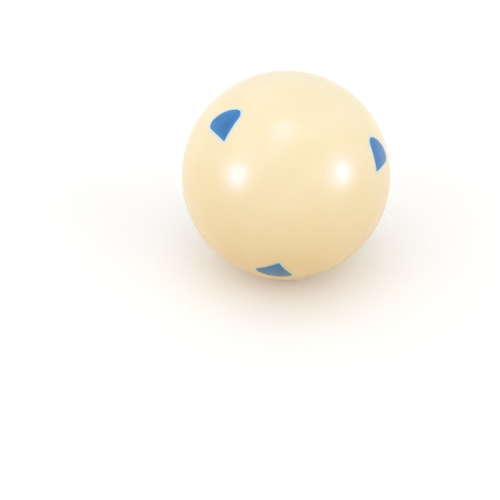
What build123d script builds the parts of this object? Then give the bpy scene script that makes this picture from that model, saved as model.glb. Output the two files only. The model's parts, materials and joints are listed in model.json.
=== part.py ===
from build123d import *
import os

# A cue ball: one solid ball of cast resin with six coloured inlays cast into its skin, one at each
# end of its three axes, so that the ball's spin can be seen as it rolls. Each inlay is a slug sliced
# from a cast bar whose section is a fan: two straight sides from a point, closed by an arc. The ball
# is cast round the six slugs, and ball and slugs are then turned and polished as one.
# All lengths are in millimetres and all angles in degrees.

# The ball
ball_diameter = 57.15           # a full-size pool ball, 2 1/4 in

# The fan, seen square on
fan_radius = 9.0                # from the point to the arc
fan_angle = 78.0                # between the two straight sides
fan_setback = 5.05              # from the inlay's axis back to the point
corner_radius = 1.9             # where the straight sides meet the arc

# The inlay
inlay_depth = 3.0               # along its axis, from the ball's skin down to its flat foot
top_twist_angle = 6.3           # the slugs are set by hand, and the top one went in a little round

# How the ball lies: turned about its own Z axis, then leaned about X
ball_turn_angle = 45.0
ball_lean_angle = 41.0

ball_radius = ball_diameter / 2
ball_attitude = (ball_lean_angle, 0, ball_turn_angle)
ball_axes = Location((0, 0, 0), ball_attitude)

# Each inlay's name, the ball's axis that it sits on, the way its arc points, in the ball's axes, and
# its twist about that axis.
inlay_places = [
    ("top_inlay", (0, 0, 1), (0, 1, 0), top_twist_angle),
    ("bottom_inlay", (0, 0, -1), (0, 1, 0), 0.0),
    ("right_inlay", (1, 0, 0), (0, 1, 0), 0.0),
    ("left_inlay", (-1, 0, 0), (0, 1, 0), 0.0),
    ("back_inlay", (0, 1, 0), (1, 0, 1), 0.0),
    ("front_inlay", (0, -1, 0), (-1, 0, -1), 0.0),
]


def slice_slug(axis, arc_direction, twist):
    """One fan-shaped slug where it is cast in: half of it stands out of the skin, to be turned away."""
    outward = Vector(*axis)
    square_plane = Plane(origin=outward * ball_radius, x_dir=Vector(*arc_direction), z_dir=outward)
    twisted_plane = square_plane.rotated((0, 0, twist))
    skin_plane = Plane(ball_axes * twisted_plane.location)
    point = (-fan_setback, 0)
    with BuildPart() as slug:
        with BuildSketch(skin_plane.offset(inlay_depth)) as fan:
            with BuildLine():
                PolarLine(point, fan_radius, -fan_angle / 2)
                CenterArc(point, fan_radius, -fan_angle / 2, fan_angle)
                PolarLine(point, fan_radius, fan_angle / 2)
            make_face()
            corners = fan.vertices().sort_by(Axis.X)[1:]
            fillet(corners, corner_radius)
        extrude(amount=-2 * inlay_depth)
    return slug.part


slugs = {}
for name, axis, arc_direction, twist in inlay_places:
    slugs[name] = slice_slug(axis, arc_direction, twist)

os.makedirs("parts", exist_ok=True)

# The ball, cast round the six slugs. Its poles are its own top and bottom.
with BuildPart() as ball_body:
    Sphere(ball_radius, rotation=ball_attitude)
    for slug in slugs.values():
        add(slug, mode=Mode.SUBTRACT)

ball_body.part.label = "ball_body"
export_step(ball_body.part, "parts/ball_body.step")

# The inlays: each slug turned down to the ball's own skin, so that its crown carries on the sphere
for name, slug in slugs.items():
    with BuildPart() as inlay:
        add(slug)
        Sphere(ball_radius, mode=Mode.INTERSECT)
    inlay.part.label = name
    export_step(inlay.part, f"parts/{name}.step")
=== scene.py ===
# %% [markdown]
# # A cue ball with fan-shaped inlays
#
# This lesson dresses a pool cue ball in Blender. The ball is one solid ball of cream resin with six
# blue fans cast into its skin, one at each end of its own three axes, so that a player can see it
# spin. The CAD model already says where everything is. Here each piece gets a fine mesh and a
# finish, and then the ball is lit and framed.
#
# The script is a row of cells. A cell of text says what the next step is on the real ball, how it
# could be made and why it is made this way, and the code cell after it makes it.

import json
import math

import bpy
from mathutils import Matrix, Vector


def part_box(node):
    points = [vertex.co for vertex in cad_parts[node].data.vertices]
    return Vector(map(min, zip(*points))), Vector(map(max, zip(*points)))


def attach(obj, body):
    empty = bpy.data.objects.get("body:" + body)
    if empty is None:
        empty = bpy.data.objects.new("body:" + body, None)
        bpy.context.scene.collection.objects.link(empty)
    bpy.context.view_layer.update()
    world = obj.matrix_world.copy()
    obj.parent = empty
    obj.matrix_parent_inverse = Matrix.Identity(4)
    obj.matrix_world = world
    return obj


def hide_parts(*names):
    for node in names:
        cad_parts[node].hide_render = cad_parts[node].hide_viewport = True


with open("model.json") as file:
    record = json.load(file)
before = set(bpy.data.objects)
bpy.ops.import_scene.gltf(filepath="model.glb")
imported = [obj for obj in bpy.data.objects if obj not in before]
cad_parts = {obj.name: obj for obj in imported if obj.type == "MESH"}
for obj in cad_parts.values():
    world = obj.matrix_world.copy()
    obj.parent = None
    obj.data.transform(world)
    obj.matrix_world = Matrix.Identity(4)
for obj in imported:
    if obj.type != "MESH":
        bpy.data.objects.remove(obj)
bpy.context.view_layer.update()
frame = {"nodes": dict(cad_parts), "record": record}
print("CAD pieces:", ", ".join(sorted(frame["nodes"])))

# %% [markdown]
# ## The sizes
#
# Blender works in metres, and a ball is easier to think of in millimetres, so every length of the
# ball is a number of millimetres times MM. The ball's radius isn't typed in: the record says where
# the ball touches the table, and that point is one radius under the ball's centre.
#
# A fan is what is left of a disc when only the slice between two straight sides is kept. Its sharp
# point sits a little behind the inlay's axis, and its two other corners are rounded.

# %% Sizes of the ball and of the fans
MM = 0.001
ball_radius = -frame["record"]["mounts"][0]["pos_m"][2]
fan_radius = 9.0 * MM                   # from the point to the arc
fan_angle = math.radians(78)            # between the two straight sides
fan_setback = 5.05 * MM                 # from the inlay's axis back to the point
corner_radius = 1.9 * MM                # where a straight side meets the arc
inlay_depth = 3.0 * MM                  # from the ball's skin down to the inlay's flat foot
print("ball diameter, mm:", round(2 * ball_radius / MM, 3))

# %% [markdown]
# ## Where the fans sit
#
# The ball lies as it came to rest: turned about its own upright axis and then leaned over. Each fan
# belongs to one end of one of the ball's axes. It also has a heading, the way that its arc points,
# and the heading is measured from a second axis of the ball, because the mesh is built square to the
# ball's axes while the fan in it may be turned. The fans are set by hand, and the top one went in a
# few degrees round.

# %% Places of the six fans
ball_turn = math.radians(45)
ball_lean = math.radians(41)
ball_attitude = Matrix.Rotation(ball_lean, 3, "X") @ Matrix.Rotation(ball_turn, 3, "Z")

# Each fan's end of an axis, the axis that its heading is measured from, the way its arc points, and
# the degrees by which it is off.
fan_places = {
    "top": ((0, 0, 1), (1, 0, 0), (0, 1, 0), 6.3),
    "bottom": ((0, 0, -1), (1, 0, 0), (0, 1, 0), 0.0),
    "right": ((1, 0, 0), (0, 1, 0), (0, 1, 0), 0.0),
    "left": ((-1, 0, 0), (0, 1, 0), (0, 1, 0), 0.0),
    "back": ((0, 1, 0), (0, 0, 1), (1, 0, 1), 0.0),
    "front": ((0, -1, 0), (0, 0, 1), (-1, 0, -1), 0.0),
}


def heading(axis, reference, arc, off_by):
    """The angle about the axis from the reference direction round to the arc's direction."""
    across = Vector(axis).cross(Vector(reference))
    angle = math.atan2(Vector(arc).dot(across), Vector(arc).dot(Vector(reference)))
    return angle + math.radians(off_by)


for name, place in fan_places.items():
    print(f"{name} fan: heading {math.degrees(heading(*place)):.1f} degrees")

# %% [markdown]
# ## The fan's outline
#
# The slugs are sliced from one cast bar, so every fan has the same outline: from the sharp point
# along a straight side, round a corner, along the wide arc, round the other corner and back. It
# could be a curve drawn by hand, but then each new size would need a new drawing, so it is worked
# out from the sizes. It is raised into a thin fence, because a later step finds the fan's edge by
# shooting rays at that fence from inside it.

# %% The fan fence
def arc_points(centre, radius, start, end, steps):
    """Evenly spaced points along an arc, with both of its ends."""
    angles = [start + (end - start) * step / steps for step in range(steps + 1)]
    return [centre + radius * Vector((math.cos(angle), math.sin(angle), 0)) for angle in angles]


corner_steps = 32
arc_steps = 96

# A rounded corner's centre lies one corner radius inside both the arc and the straight side.
corner_reach = fan_radius - corner_radius
arc_end = fan_angle / 2 - math.asin(corner_radius / corner_reach)
side_end = fan_angle / 2 + math.pi / 2
fan_point = Vector((-fan_setback, 0, 0))
corner_offset = corner_reach * Vector((math.cos(arc_end), math.sin(arc_end), 0))
left_corner = fan_point + corner_offset
right_corner = fan_point + corner_offset * Vector((1, -1, 1))

fan_outline = [fan_point]
fan_outline += arc_points(right_corner, corner_radius, -side_end, -arc_end, corner_steps)
fan_outline += arc_points(fan_point, fan_radius, -arc_end, arc_end, arc_steps)[1:-1]
fan_outline += arc_points(left_corner, corner_radius, arc_end, side_end, corner_steps)

to_fence_top = Vector((0, 0, 1 * MM))
lower_edge = [point - to_fence_top for point in fan_outline]
upper_edge = [point + to_fence_top for point in fan_outline]
count = len(fan_outline)
fence_faces = [(i, (i + 1) % count, (i + 1) % count + count, i + count) for i in range(count)]
fence_mesh = bpy.data.meshes.new("fan_fence")
fence_mesh.from_pydata(lower_edge + upper_edge, [], fence_faces)
fan_fence = bpy.data.objects.new("fan_fence", fence_mesh)
fan_width = 2 * max(point.y for point in fan_outline)
print("fan outline:", count, "points, wide side, mm:", round(fan_width / MM, 2))

# %% [markdown]
# ## One way to add a node
#
# The meshes and the finishes below are both made from nodes. One small function adds a node of any
# kind: it sets the node's options first, and then for each input either draws a link, when it is
# given another node or one of its outputs, or writes the value in.

# %% The helper for nodes
def add_node(tree, kind, inputs=None, **options):
    """Adds one node to a tree, with its options set and its inputs linked or written in."""
    node = tree.nodes.new(kind)
    for option, value in options.items():
        setattr(node, option, value)
    for socket_name, value in (inputs or {}).items():
        if isinstance(value, bpy.types.Node):
            value = value.outputs[0]
        if isinstance(value, bpy.types.NodeSocket):
            tree.links.new(value, node.inputs[socket_name])
        else:
            node.inputs[socket_name].default_value = value
    return node


# %% [markdown]
# ## The ball as six patches
#
# A ball could be a plain UV sphere with six holes cut by booleans, but the cuts would leave slivers
# round every fan, and a polished ball shows them. So the ball is grown as the six sides of a cube
# blown up round, each with a fan in its middle. The mesh lines of a side run in from its four edges
# to the fan's outline, down the wall of the pocket and across its floor.
#
# A fan is grown from the same lattice: out from its middle over its crown, which carries on the
# ball's curve, down its wall and back across its foot. So wall meets wall line for line, as on the
# real ball, where the resin was cast round the slugs and both were turned down together.
#
# Geometry Nodes do this. The modifier is given one point for each side that is wanted, which holds
# that side's directions. The first part of the tree lays a flat lattice at each point: a turn round
# the axis one way, and the other way one row of cells after another, over the top, down the wall and
# across the floor.

# %% The patch tree: a lattice at each place
patch_inputs = {
    "Places": "NodeSocketGeometry", "Fan Fence": "NodeSocketObject", "Ball Radius": "NodeSocketFloat",
    "Fan Setback": "NodeSocketFloat", "Inlay Depth": "NodeSocketFloat", "Columns": "NodeSocketInt",
    "Top Rows": "NodeSocketInt", "Wall Rows": "NodeSocketInt", "Floor Rows": "NodeSocketInt",
    "Is Inlay": "NodeSocketBool", "Material": "NodeSocketMaterial",
}
patch_tree = bpy.data.node_groups.new("ball_patches", "GeometryNodeTree")
for socket_name, socket_type in patch_inputs.items():
    patch_tree.interface.new_socket(socket_name, in_out="INPUT", socket_type=socket_type)
patch_tree.interface.new_socket("Mesh", in_out="OUTPUT", socket_type="NodeSocketGeometry")
given = add_node(patch_tree, "NodeGroupInput").outputs

lattice = add_node(patch_tree, "GeometryNodeJoinGeometry")
column_points = add_node(patch_tree, "FunctionNodeIntegerMath", {0: given["Columns"], 1: 1})
for band, rows in enumerate(("Top Rows", "Wall Rows", "Floor Rows")):
    row_points = add_node(patch_tree, "FunctionNodeIntegerMath", {0: given[rows], 1: 1})
    grid = add_node(patch_tree, "GeometryNodeMeshGrid", {
        "Vertices X": column_points, "Vertices Y": row_points})
    cell = add_node(patch_tree, "ShaderNodeVectorMath", {0: grid.outputs["UV Map"], 1: (0, band, 0)})
    marked = add_node(
        patch_tree, "GeometryNodeStoreNamedAttribute",
        {"Geometry": grid, "Name": "cell", "Value": cell}, data_type="FLOAT_VECTOR")
    patch_tree.links.new(marked.outputs[0], lattice.inputs[0])

laid = add_node(patch_tree, "GeometryNodeInstanceOnPoints", {
    "Points": given["Places"], "Instance": lattice})
patches = add_node(patch_tree, "GeometryNodeRealizeInstances", {"Geometry": laid})
print("patch tree so far:", len(patch_tree.nodes), "nodes")

# %% [markdown]
# ## What each point of the lattice knows
#
# On the real ball the resin just fills its mould. Here each point of the lattice has to be told which
# part of the ball it will be. Its place gives it that side's directions, and its cell says how far
# round it stands and in which row. From the cell come its turn round the axis, and three shares that
# each run from 0 to 1 through one band of rows: over the top, down the wall and across the floor. A
# tree for each band would do the same work three times over.

# %% The patch tree: turn and shares
own = {
    attribute: add_node(patch_tree, "GeometryNodeInputNamedAttribute", {"Name": attribute}, data_type=kind)
    for attribute, kind in (("cell", "FLOAT_VECTOR"), ("heading", "FLOAT"), ("axis", "FLOAT_VECTOR"),
                            ("reference", "FLOAT_VECTOR"))
}
column_and_row = add_node(patch_tree, "ShaderNodeSeparateXYZ", {0: own["cell"]}).outputs
turn = add_node(patch_tree, "ShaderNodeMath", {0: column_and_row["X"], 1: math.tau}, operation="MULTIPLY")
top_share, wall_share, floor_share = [
    add_node(patch_tree, "ShaderNodeMapRange", {
        "Value": column_and_row["Y"], "From Min": band, "From Max": band + 1})
    for band in (0, 1, 2)]
print("a point knows its", ", ".join(own))

# %% [markdown]
# ## The fan's edge
#
# The edge of a fan is the line where the slug's side comes out of the skin. It could be worked out by
# formula, side by side and corner by corner, but a ray is simpler: each column shoots one from the
# inlay's axis, the way that its turn says, and where the ray meets the fence is the fan's edge. The
# one column nearest to the fan's point is given that point itself, so the point stays sharp however
# the fan is turned.

# %% The patch tree: the fan's edge for each column
fan_turn = add_node(patch_tree, "ShaderNodeMath", {0: turn, 1: own["heading"]}, operation="SUBTRACT")
ray = add_node(
    patch_tree, "ShaderNodeVectorRotate", {"Vector": (1, 0, 0), "Angle": fan_turn}, rotation_type="Z_AXIS")
fence = add_node(patch_tree, "GeometryNodeObjectInfo", {"Object": given["Fan Fence"]})
middle = add_node(patch_tree, "FunctionNodeInputVector")
hit = add_node(patch_tree, "GeometryNodeRaycast", {
    "Target Geometry": fence.outputs["Geometry"], "Source Position": middle, "Ray Direction": ray,
    "Ray Length": given["Ball Radius"]})

# The fan's point lies half a turn from its heading, and the nearest column is within half a column.
wrapped = add_node(patch_tree, "ShaderNodeMath", {0: fan_turn, 1: math.tau, 2: 0}, operation="WRAP")
from_point = add_node(patch_tree, "ShaderNodeMath", {0: wrapped, 1: math.pi}, operation="SUBTRACT")
off_point = add_node(patch_tree, "ShaderNodeMath", {0: from_point}, operation="ABSOLUTE")
half_column = add_node(patch_tree, "ShaderNodeMath", {0: math.pi, 1: given["Columns"]}, operation="DIVIDE")
at_point = add_node(patch_tree, "ShaderNodeMath", {0: off_point, 1: half_column}, operation="LESS_THAN")
behind = add_node(patch_tree, "ShaderNodeMath", {0: given["Fan Setback"], 1: -1}, operation="MULTIPLY")
point = add_node(patch_tree, "ShaderNodeCombineXYZ", {"X": behind})
fan_edge = add_node(patch_tree, "GeometryNodeSwitch", {
    "Switch": at_point, "False": hit.outputs["Hit Position"], "True": point}, input_type="VECTOR")

# So far the edge is in the fan's own directions. A turn by its heading gives it in the patch's.
edge = add_node(
    patch_tree, "ShaderNodeVectorRotate", {"Vector": fan_edge, "Angle": own["heading"]},
    rotation_type="Z_AXIS")
print("patch tree so far:", len(patch_tree.nodes), "nodes")

# %% [markdown]
# ## An inlay's crown
#
# The crown is the only part of a fan that shows, and it was turned down with the ball, so it has to
# be part of the ball's own sphere. A flat top swollen by a bevel would only come near to that. So the
# fan's outline is shrunk towards the axis, row by row, and each point of it is lifted straight up to
# the sphere.

# %% The patch tree: the crown of an inlay
def lifted(flat):
    """The point of the ball's skin that lies straight over a flat point."""
    along = add_node(patch_tree, "ShaderNodeVectorMath", {0: flat}, operation="LENGTH").outputs["Value"]
    squares = [add_node(patch_tree, "ShaderNodeMath", {0: length, 1: 2}, operation="POWER")
               for length in (given["Ball Radius"], along)]
    height_squared = add_node(
        patch_tree, "ShaderNodeMath", {0: squares[0], 1: squares[1]}, operation="SUBTRACT")
    height = add_node(patch_tree, "ShaderNodeMath", {0: height_squared}, operation="SQRT")
    up = add_node(patch_tree, "ShaderNodeCombineXYZ", {"Z": height})
    return add_node(patch_tree, "ShaderNodeVectorMath", {0: flat, 1: up})


shrunk = add_node(patch_tree, "ShaderNodeVectorMath", {0: edge, "Scale": top_share}, operation="SCALE")
crown = lifted(shrunk)
print("patch tree so far:", len(patch_tree.nodes), "nodes")

# %% [markdown]
# ## The ball's skin
#
# Round each fan the skin runs from the cube's edge in to the fan's rim. The point's turn says where
# it starts on the cube's edge, and neighbouring sides start from the same points there, so they meet
# point for point. The rows between are spaced wider and wider away from the fan, which keeps the
# cells nearly square: with even rows they would be long and thin near the fan. Every point is then
# pushed out to the ball's radius, so the skin is a true sphere.

# %% The patch tree: the skin round a fan
compass = add_node(
    patch_tree, "ShaderNodeVectorRotate", {"Vector": (1, 0, 0), "Angle": turn}, rotation_type="Z_AXIS")

# On the cube's edge the larger of the two flat distances from the axis is 1, and so is the height.
spans = add_node(patch_tree, "ShaderNodeVectorMath", {0: compass}, operation="ABSOLUTE")
span_parts = add_node(patch_tree, "ShaderNodeSeparateXYZ", {0: spans}).outputs
larger = add_node(
    patch_tree, "ShaderNodeMath", {0: span_parts["X"], 1: span_parts["Y"]}, operation="MAXIMUM")
stretch = add_node(patch_tree, "ShaderNodeMath", {0: 1, 1: larger}, operation="DIVIDE")
on_square = add_node(patch_tree, "ShaderNodeVectorMath", {0: compass, "Scale": stretch}, operation="SCALE")
on_cube = add_node(patch_tree, "ShaderNodeVectorMath", {0: on_square, 1: (0, 0, 1)})
cube_way = add_node(patch_tree, "ShaderNodeVectorMath", {0: on_cube}, operation="NORMALIZE")
cube_edge = add_node(
    patch_tree, "ShaderNodeVectorMath", {0: cube_way, "Scale": given["Ball Radius"]}, operation="SCALE")

row_growth = 5.0                        # how much wider the last row of skin is than the first
away = add_node(patch_tree, "ShaderNodeMath", {0: 1, 1: top_share}, operation="SUBTRACT")
grown = add_node(patch_tree, "ShaderNodeMath", {0: row_growth, 1: away}, operation="POWER")
share = add_node(patch_tree, "ShaderNodeMapRange", {"Value": grown, "From Min": 1, "From Max": row_growth})
fan_rim = lifted(edge)
rim_to_cube = add_node(patch_tree, "ShaderNodeVectorMath", {0: cube_edge, 1: fan_rim}, operation="SUBTRACT")
blended = add_node(
    patch_tree, "ShaderNodeVectorMath", {0: rim_to_cube, 1: share, 2: fan_rim}, operation="MULTIPLY_ADD")
skin_way = add_node(patch_tree, "ShaderNodeVectorMath", {0: blended}, operation="NORMALIZE")
skin = add_node(
    patch_tree, "ShaderNodeVectorMath", {0: skin_way, "Scale": given["Ball Radius"]}, operation="SCALE")
print("patch tree so far:", len(patch_tree.nodes), "nodes")

# %% [markdown]
# ## The wall and the floor
#
# Under the skin a slug has straight sides and a flat foot, and the pocket in the ball fits it face
# to face. Two extrusions could make both, once the rim's edges are picked out. Here the lattice
# already has rows for them, so a point of the top is simply carried on: down the wall only its height
# changes, and across the floor only its distance from the axis. Last it is turned from the patch's
# directions to the ball's.

# %% The patch tree: the wall, the floor and the place on the ball
top = add_node(
    patch_tree, "GeometryNodeSwitch", {"Switch": given["Is Inlay"], "False": skin, "True": crown},
    input_type="VECTOR")
top_parts = add_node(patch_tree, "ShaderNodeSeparateXYZ", {0: top}).outputs
floor_height = add_node(
    patch_tree, "ShaderNodeMath", {0: given["Ball Radius"], 1: given["Inlay Depth"]}, operation="SUBTRACT")
height = add_node(patch_tree, "ShaderNodeMapRange", {
    "Value": wall_share, "To Min": top_parts["Z"], "To Max": floor_height})
reach = add_node(patch_tree, "ShaderNodeMath", {0: 1, 1: floor_share}, operation="SUBTRACT")
flat_part = add_node(patch_tree, "ShaderNodeVectorMath", {0: top, 1: (1, 1, 0)}, operation="MULTIPLY")
drawn_in = add_node(patch_tree, "ShaderNodeVectorMath", {0: flat_part, "Scale": reach}, operation="SCALE")
height_only = add_node(patch_tree, "ShaderNodeCombineXYZ", {"Z": height})
in_patch = add_node(patch_tree, "ShaderNodeVectorMath", {0: drawn_in, 1: height_only})

side_turn = add_node(patch_tree, "FunctionNodeAxesToRotation", {
    "Primary Axis": own["axis"], "Secondary Axis": own["reference"]}, primary_axis="Z", secondary_axis="X")
on_ball = add_node(patch_tree, "FunctionNodeRotateVector", {"Vector": in_patch, "Rotation": side_turn})
placed = add_node(patch_tree, "GeometryNodeSetPosition", {"Geometry": patches, "Position": on_ball})
print("patch tree so far:", len(patch_tree.nodes), "nodes")

# %% [markdown]
# ## Rims, seams and creases
#
# The finish will want to know how far each point of the skin is from its fan's rim. Measuring along
# a column of cells would be the simplest, but the columns don't leave the rim squarely, so a band
# drawn by it would be uneven. The fence stands on the rim's outline, so it is asked for its nearest
# point instead, in the fan's own directions.
#
# Then the seams between the patches are welded. An inlay's rows run outwards over its crown, where
# the skin's rows run inwards, so its faces come out inside out and are turned over. The mesh is
# smooth all over, except at the rims, the corners and the feet, where the faces turn sharply.

# %% The patch tree: the distance from the rim, the welds and the creases
in_fan = add_node(
    patch_tree, "ShaderNodeVectorRotate", {"Vector": flat_part, "Angle": own["heading"]},
    rotation_type="Z_AXIS", invert=True)
nearest = add_node(patch_tree, "GeometryNodeProximity", {
    "Geometry": fence.outputs["Geometry"], "Sample Position": in_fan}, target_element="FACES")
measured = add_node(patch_tree, "GeometryNodeStoreNamedAttribute", {
    "Geometry": placed, "Name": "from_rim", "Value": nearest.outputs["Distance"]}, data_type="FLOAT")

weld_distance = 0.001 * MM
crease_angle = math.radians(30)
welded = add_node(patch_tree, "GeometryNodeMergeByDistance", {
    "Geometry": measured, "Distance": weld_distance})
outward = add_node(patch_tree, "GeometryNodeFlipFaces", {"Mesh": welded, "Selection": given["Is Inlay"]})
fold = add_node(patch_tree, "GeometryNodeInputMeshEdgeAngle")
is_sharp = add_node(patch_tree, "ShaderNodeMath", {0: fold, 1: crease_angle}, operation="GREATER_THAN")
smoothed = add_node(patch_tree, "GeometryNodeSetShadeSmooth", {"Geometry": outward, "Shade Smooth": True})
creased = add_node(patch_tree, "GeometryNodeSetShadeSmooth", {
    "Geometry": smoothed, "Selection": is_sharp, "Shade Smooth": False}, domain="EDGE")
finished = add_node(
    patch_tree, "GeometryNodeSetMaterial", {"Geometry": creased, "Material": given["Material"]})
add_node(patch_tree, "NodeGroupOutput", {"Mesh": finished})
print("patch tree, whole:", len(patch_tree.nodes), "nodes")

# %% [markdown]
# ## Running the tree
#
# The tree is run once for the ball, on all six places, and once for each fan, on its own place. The
# result is taken as a plain mesh, so no modifier is left to be worked out again, and each fan stays a
# piece of its own, as it is on a bench before it is cast in.

# %% The helper that grows a piece
# The columns round each fan have to divide by eight, so that one runs to each corner of the cube.
column_count = 192
skin_rows = 48
crown_rows = 24
wall_rows = 6
floor_rows = 8


def grow_piece(piece_name, place_names, is_inlay, material):
    """One piece of the ball, grown from the patch tree at the named places."""
    places = [fan_places[place_name] for place_name in place_names]
    seeds = bpy.data.meshes.new("places")
    seeds.from_pydata([ball_attitude @ Vector(axis) * ball_radius for axis, *_ in places], [], [])
    for attribute, entry in (("axis", 0), ("reference", 1)):
        vectors = seeds.attributes.new(attribute, "FLOAT_VECTOR", "POINT").data
        for vector, place in zip(vectors, places):
            vector.vector = ball_attitude @ Vector(place[entry])
    headings = seeds.attributes.new("heading", "FLOAT", "POINT").data
    for value, place in zip(headings, places):
        value.value = heading(*place)

    holder = bpy.data.objects.new("places", seeds)
    bpy.context.scene.collection.objects.link(holder)
    modifier = holder.modifiers.new("ball_patches", "NODES")
    modifier.node_group = patch_tree

    # A modifier's input is set by its socket's identifier, so the names are looked up first.
    sockets = {item.name: item.identifier for item in patch_tree.interface.items_tree}
    values = {
        "Fan Fence": fan_fence, "Ball Radius": ball_radius, "Fan Setback": fan_setback,
        "Inlay Depth": inlay_depth, "Columns": column_count,
        "Top Rows": crown_rows if is_inlay else skin_rows, "Wall Rows": wall_rows,
        "Floor Rows": floor_rows, "Is Inlay": is_inlay, "Material": material,
    }
    for socket_name, value in values.items():
        modifier[sockets[socket_name]] = value

    # What only the tree needed is taken off the mesh again, and from_rim stays for the finish.
    evaluated = holder.evaluated_get(bpy.context.evaluated_depsgraph_get())
    mesh = bpy.data.meshes.new_from_object(evaluated)
    mesh.name = piece_name
    for attribute in ("axis", "reference", "heading", "cell"):
        mesh.attributes.remove(mesh.attributes[attribute])
    bpy.data.objects.remove(holder)
    piece = bpy.data.objects.new(piece_name, mesh)
    bpy.context.scene.collection.objects.link(piece)
    print(f"{piece_name}: {len(mesh.vertices)} points, {len(mesh.polygons)} faces")
    return piece


# %% [markdown]
# ## Colours
#
# A colour on a chart is written for a screen, and a shader wants it as an amount of light. One
# function turns the first into the second.

# %% The helper for colours
def light_of(colour):
    """A screen colour such as #f5deb3 as linear red, green, blue and alpha."""
    channels = [int(colour[i:i + 2], 16) / 255 for i in (1, 3, 5)]
    return [c / 12.92 if c <= 0.04045 else ((c + 0.055) / 1.055) ** 2.4 for c in channels] + [1.0]


print("half grey, #808080, as light:", round(light_of("#808080")[0], 3))

# %% [markdown]
# ## The resin
#
# Both colours of the ball are the same stuff: a clear resin filled with pigment, cast, cured hard,
# ground round and then polished in a drum of wax and fine grit. To the eye it is a plastic with an
# even gloss, a little light that goes in and comes out again close by, which softens every shade,
# and a colour that isn't quite even, because the pigment settled in faint clouds before it cured.
#
# Where the cream was cast against the blue, a trace of each pigment bled into the other before they
# set. It shows as a pale, cool rim about a millimetre wide round every fan, and as a lighter blue
# just inside it.
#
# One function makes both, because only the numbers differ. The clouds and the polish could be
# painted on, but a painted skin needs seams. Here they are noise on Object coordinates, which fills
# the resin like a solid, so no seam shows and their sizes are millimetres. The bleeding reads the
# distance from the rim, which the patch tree kept.

# %% The polished resin
def cast_resin(material_name, colour, cloud_colour, cloud_size, rim_colour, glow, glow_depth):
    """Pigmented casting resin, turned and polished: clouded colour, faint polishing marks, a soft glow."""
    material = bpy.data.materials.new(material_name)
    material.use_nodes = True
    tree = material.node_tree
    tree.nodes.clear()
    place = add_node(tree, "ShaderNodeTexCoord").outputs["Object"]

    # Noise seldom leaves the middle of its range, so that middle is spread over the whole mix.
    clouds = add_node(tree, "ShaderNodeTexNoise", {
        "Vector": place, "Scale": 1 / cloud_size, "Detail": 3, "Roughness": 0.55})
    cloud_share = add_node(tree, "ShaderNodeMapRange", {
        "Value": clouds, "From Min": 0.35, "From Max": 0.65}, interpolation_type="SMOOTHSTEP")
    pigment = add_node(tree, "ShaderNodeMix", {
        0: cloud_share, 6: light_of(colour), 7: light_of(cloud_colour)}, data_type="RGBA")

    bleed_width = 1.2 * MM
    from_rim = add_node(tree, "ShaderNodeAttribute", attribute_name="from_rim").outputs["Fac"]
    bleeding = add_node(
        tree, "ShaderNodeMapRange",
        {"Value": from_rim, "From Min": 0, "From Max": bleed_width, "To Min": 1, "To Max": 0},
        interpolation_type="SMOOTHSTEP")
    bled = add_node(tree, "ShaderNodeMix", {
        0: bleeding, 6: pigment.outputs[2], 7: light_of(rim_colour)}, data_type="RGBA")

    # Polishing leaves patches that are a little duller, a few millimetres across.
    roughness = 0.24
    roughness_spread = 0.02
    patch_size = 3 * MM
    dull_patches = add_node(
        tree, "ShaderNodeTexNoise", {"Vector": place, "Scale": 1 / patch_size, "Detail": 4})
    gloss = add_node(tree, "ShaderNodeMapRange", {
        "Value": dull_patches, "From Min": 0.3, "From Max": 0.7,
        "To Min": roughness - roughness_spread, "To Max": roughness + roughness_spread})

    # The grit's own marks are a few hundredths of a millimetre, too fine to show, and are drawn at 0.3.
    mark_size = 0.3 * MM
    mark_depth = 0.02 * MM
    marks = add_node(tree, "ShaderNodeTexNoise", {"Vector": place, "Scale": 1 / mark_size, "Detail": 2})
    grain = add_node(tree, "ShaderNodeBump", {
        "Strength": 0.04, "Distance": mark_depth, "Height": marks})

    # Balls are cast from polyester or phenolic resin, and the index lies between those of the two. Red
    # light travels furthest through the resin before it comes out again, and blue the least.
    resin_index = 1.58
    surface = add_node(tree, "ShaderNodeBsdfPrincipled", {
        "Base Color": bled.outputs[2], "Roughness": gloss, "IOR": resin_index, "Normal": grain,
        "Subsurface Weight": glow, "Subsurface Radius": (1.0, 0.7, 0.45), "Subsurface Scale": glow_depth})
    add_node(tree, "ShaderNodeOutputMaterial", {"Surface": surface})
    print(f"{material_name}: {len(tree.nodes)} nodes")
    return material


cream_resin = cast_resin(
    "polished_cream_resin", colour="#f5e7c5", cloud_colour="#f3e4be", cloud_size=11 * MM,
    rim_colour="#d2e5ea", glow=0.3, glow_depth=1.5 * MM)
blue_resin = cast_resin(
    "polished_blue_resin", colour="#0a6cb3", cloud_colour="#0f79c5", cloud_size=5 * MM,
    rim_colour="#2a7fbd", glow=0.1, glow_depth=0.5 * MM)

# %% [markdown]
# ## The pieces
#
# The ball is one casting, and each fan is a slug of its own. The CAD model's own facets could be
# shown, but they are too coarse for a polished ball. So each mesh stands for one CAD node, which is
# then hidden but still there for the physics. For each fan the cell prints how far the corners of
# its box lie from those of the CAD node's.

# %% The ball and its six fans
ball = grow_piece("cream_ball", fan_places, False, cream_resin)
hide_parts("ball_body")
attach(ball, "root")

for place_name in fan_places:
    fan = grow_piece(f"{place_name}_fan", [place_name], True, blue_resin)
    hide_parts(f"{place_name}_inlay")
    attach(fan, "root")
    low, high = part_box(f"{place_name}_inlay")
    corners = [Vector(corner) for corner in fan.bound_box]
    off = max((corners[0] - low).length, (corners[6] - high).length)
    print(f"{place_name} fan: its box is within {off / MM:.3f} mm of the CAD node's")

bpy.data.objects.remove(fan_fence)

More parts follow.
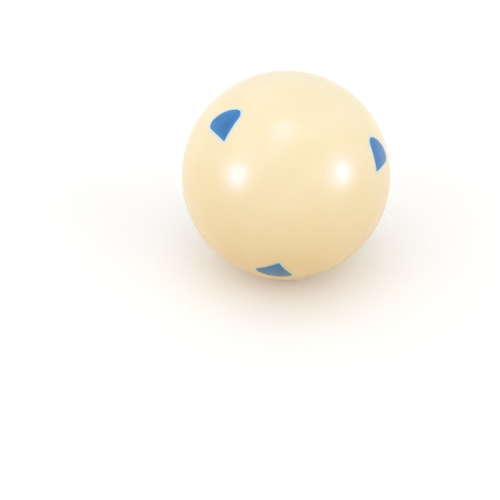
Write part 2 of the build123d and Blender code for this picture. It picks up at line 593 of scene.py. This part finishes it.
# %% [markdown]
# ## The studio walls
#
# The ball is pictured as small shiny things are: on a plain white sweep, with a soft lamp to the
# left, one to the right, one overhead, a white board to fill in, and white walls all round. The walls
# could be a box of planes, but the world does the same with nothing in the way. Where the camera or
# a reflection looks at them they are full white, and the light that they throw is set by itself.

# %% The world
def seen_directly(tree):
    """1 for rays from the camera, a reflection or glass, 0 for rays that gather light."""
    path = add_node(tree, "ShaderNodeLightPath").outputs
    looks = add_node(
        tree, "ShaderNodeMath", {0: path["Is Camera Ray"], 1: path["Is Glossy Ray"]}, operation="MAXIMUM")
    return add_node(
        tree, "ShaderNodeMath", {0: looks, 1: path["Is Transmission Ray"]}, operation="MAXIMUM")


scene = bpy.context.scene
scene.view_settings.view_transform = "Standard"
white = light_of("#ffffff")
wall_light = 0.8

world = bpy.data.worlds.new("white_walls")
world.use_nodes = True
scene.world = world
walls = world.node_tree
walls.nodes.clear()
wall_strength = add_node(walls, "ShaderNodeMapRange", {
    "Value": seen_directly(walls), "To Min": wall_light, "To Max": 1.0})
wall_glow = add_node(walls, "ShaderNodeBackground", {"Color": white, "Strength": wall_strength})
add_node(walls, "ShaderNodeOutputWorld", {"Surface": wall_glow})
print("white walls, light thrown:", wall_light)

# %% [markdown]
# ## The sweep
#
# The ball lies on a roll of matt white paper. It could be bent up at the back as a real sweep is, but
# then it would stand in the way of a look from behind, so it lies flat and reaches a few metres each
# way.

# %% The white sweep
sweep_width = 6.0                       # in metres
half_sweep = sweep_width / 2
sweep_mesh = bpy.data.meshes.new("white_sweep")
sweep_mesh.from_pydata(
    [(-half_sweep, -half_sweep, -ball_radius), (half_sweep, -half_sweep, -ball_radius),
     (half_sweep, half_sweep, -ball_radius), (-half_sweep, half_sweep, -ball_radius)], [], [(0, 1, 2, 3)])
sweep = bpy.data.objects.new("white_sweep", sweep_mesh)
scene.collection.objects.link(sweep)
print("sweep, m:", sweep_width)

# %% [markdown]
# ## The paper's finish
#
# Matt paper scatters light evenly and has no gloss, so a plain diffuse shader is enough for it. Near
# the ball it keeps the ball's shadow. Further off it is seen as white as the walls, by its distance
# from the ball, so no line shows where they meet.
#
# Where it is looked at, the paper is white. The light that it throws back is a warm tan, which stands
# in for the warm things round a ball in use, such as hands and wood.

# %% Matt white paper
shadow_end = 0.15                       # in metres from the ball's centre, as is paper_end
paper_end = 1.2

matt_white = bpy.data.materials.new("matt_white_paper")
matt_white.use_nodes = True
paper = matt_white.node_tree
paper.nodes.clear()
seen = seen_directly(paper)
paper_shade = add_node(paper, "ShaderNodeMix", {
    0: seen, 6: light_of("#d0b168"), 7: white}, data_type="RGBA")
paper_surface = add_node(paper, "ShaderNodeBsdfDiffuse", {"Color": paper_shade.outputs[2]})

place = add_node(paper, "ShaderNodeTexCoord").outputs["Object"]
from_ball = add_node(paper, "ShaderNodeVectorMath", {0: place}, operation="LENGTH")
far_off = add_node(
    paper, "ShaderNodeMapRange",
    {"Value": from_ball.outputs["Value"], "From Min": shadow_end, "From Max": paper_end},
    interpolation_type="SMOOTHSTEP")
seen_far_off = add_node(paper, "ShaderNodeMath", {0: far_off, 1: seen}, operation="MULTIPLY")
white_glow = add_node(paper, "ShaderNodeEmission", {"Color": white, "Strength": 1.0})
paper_mix = add_node(paper, "ShaderNodeMixShader", {0: seen_far_off, 1: paper_surface, 2: white_glow})
add_node(paper, "ShaderNodeOutputMaterial", {"Surface": paper_mix})
sweep_mesh.materials.append(matt_white)
print("paper:", len(paper.nodes), "nodes")

# %% [markdown]
# ## The lamps
#
# Each soft light is a round cloth lamp that faces the ball. One function stands such a lamp round the
# ball by two angles, so that a lamp is one line to read and to move.

# %% The helper for lamps
lamp_distance = 2.4                     # in metres, as is cloth_width
cloth_width = 2.2


def round_lamp(lamp_name, azimuth, elevation, width, power):
    """A round lamp that faces the ball: azimuth 0 is from -Y, and 90 is from +X."""
    around = math.radians(azimuth)
    up = math.radians(elevation)
    way = Vector((math.sin(around) * math.cos(up), -math.cos(around) * math.cos(up), math.sin(up)))
    light = bpy.data.lights.new(lamp_name, "AREA")
    light.shape = "DISK"
    light.size = width
    light.energy = power
    lamp = bpy.data.objects.new(lamp_name, light)
    lamp.location = way * lamp_distance
    lamp.rotation_euler = way.to_track_quat("Z", "Y").to_euler()
    lamp.visible_camera = False
    scene.collection.objects.link(lamp)
    print(f"{lamp_name}: {power} W")
    return lamp


# %% [markdown]
# ## Light and shine
#
# On a ball each lamp shows as a small bright spot, and the spot says where the lamp stands and what
# it is like. These fade softly from a bright middle, as a bulb behind a sheet of cloth does. A plain
# area lamp is evenly bright and would leave a spot with a hard edge, so the part of a lamp that
# shows in the polish gets a small node tree. It follows the old rule for a bulb and a flat sheet:
# the sheet is brightest straight in front of the bulb, and further out the light falls by the cube
# of the cosine of its slant, which is (1 + (radius / depth) squared) to the power of minus 1.5. The
# sheet's mean brightness is divided out, so that the lamp's power is what it really gives.
#
# The light that falls on the ball and the shine that shows in its polish are two lamps in one place.
# A screen clips red, green and blue one by one. Cream is nearly full of red and green already, so a
# neutral shine on it would run full of green before blue and turn lemon yellow. A shine with less
# green and least red in it stays white all the way in. It also comes from a smaller sheet than the
# light does, which leaves less speckle for the same bright middle.

# %% Three soft lamps
shine_width = 1.4
bulb_depth = 0.25                       # from the bulb to the cloth
shine_colour = "#9bb8ff"


def soft_lamp(lamp_name, azimuth, elevation, power, shine_power):
    """A cloth lamp as two: one throws the soft light, and the other shows in the polish."""
    cloth = round_lamp(lamp_name, azimuth, elevation, cloth_width, power)
    cloth.visible_glossy = False
    shine = round_lamp(f"{lamp_name}_shine", azimuth, elevation, shine_width, shine_power)
    shine.visible_diffuse = False

    # Parametric runs from 0 to 1 both ways across the sheet, so its middle is at one half.
    shine.data.use_nodes = True
    tree = shine.data.node_tree
    tree.nodes.clear()
    spot = add_node(tree, "ShaderNodeNewGeometry").outputs["Parametric"]
    from_middle = add_node(tree, "ShaderNodeVectorMath", {0: spot, 1: (0.5, 0.5, 0)}, operation="DISTANCE")
    in_depths = add_node(
        tree, "ShaderNodeMath", {0: from_middle.outputs["Value"], 1: shine_width / bulb_depth},
        operation="MULTIPLY")
    squared = add_node(tree, "ShaderNodeMath", {0: in_depths, 1: 2}, operation="POWER")
    distance_squared = add_node(tree, "ShaderNodeMath", {0: squared, 1: 1}, operation="ADD")
    cosine_cubed = add_node(tree, "ShaderNodeMath", {0: distance_squared, 1: -1.5}, operation="POWER")
    rim_squared = (shine_width / 2 / bulb_depth) ** 2
    over_mean = rim_squared / 2 / (1 - (1 + rim_squared) ** -0.5)
    strength = add_node(tree, "ShaderNodeMath", {0: over_mean, 1: cosine_cubed}, operation="MULTIPLY")
    glow = add_node(tree, "ShaderNodeEmission", {"Color": light_of(shine_colour), "Strength": strength})
    add_node(tree, "ShaderNodeOutputLight", {"Surface": glow})


soft_lamp("left_soft_box", azimuth=0.8, elevation=19.9, power=12.9, shine_power=34)
soft_lamp("right_soft_box", azimuth=125.8, elevation=18.6, power=16, shine_power=34)
soft_lamp("overhead_lamp", azimuth=33.6, elevation=80.2, power=6.5, shine_power=16)

# %% [markdown]
# ## The white board
#
# Far to the left, and a little behind the ball, a white board throws some light back on the flank
# that the soft boxes miss. One more soft box would do the same, but it would show in the polish as
# one more spot. So the board has no bulb: it gives light and no shine.

# %% A board to throw light back
board = round_lamp("white_board", azimuth=-50, elevation=15, width=cloth_width, power=7)
board.visible_glossy = False

# %% [markdown]
# ## The camera
#
# The camera looks down on the ball from close by, and the ball sits above and a little to the right
# of the middle of the frame. The frame could be shifted to place it so, but then a look from another
# side would be shifted too. So the lens points past the ball, at a spot to the lower left of its
# centre.

# %% Camera
camera_azimuth = math.radians(57.34)
camera_elevation = math.radians(33.0)
camera_distance = 212.0 * MM
aim_left = 9.2 * MM                     # from the ball's centre to where the lens points, as seen
aim_down = 20.8 * MM
lens_length = 54.84                     # in millimetres already, as Blender's camera takes it
sensor_width = 36.0

lens = bpy.data.cameras.new("camera")
lens.lens = lens_length
lens.sensor_width = sensor_width
lens.clip_start = 10 * MM
camera = bpy.data.objects.new("camera", lens)
back = Vector((
    math.sin(camera_azimuth) * math.cos(camera_elevation),
    -math.cos(camera_azimuth) * math.cos(camera_elevation),
    math.sin(camera_elevation)))
left = Vector((0, 0, -1)).cross(back).normalized()
down = back.cross(left)
camera.location = back * camera_distance
aim = left * aim_left + down * aim_down
camera.rotation_mode = "QUATERNION"
camera.rotation_quaternion = (aim - camera.location).to_track_quat("-Z", "Y")
scene.collection.objects.link(camera)
scene.camera = camera
print("camera, mm from the ball's centre:", round(camera_distance / MM, 1))
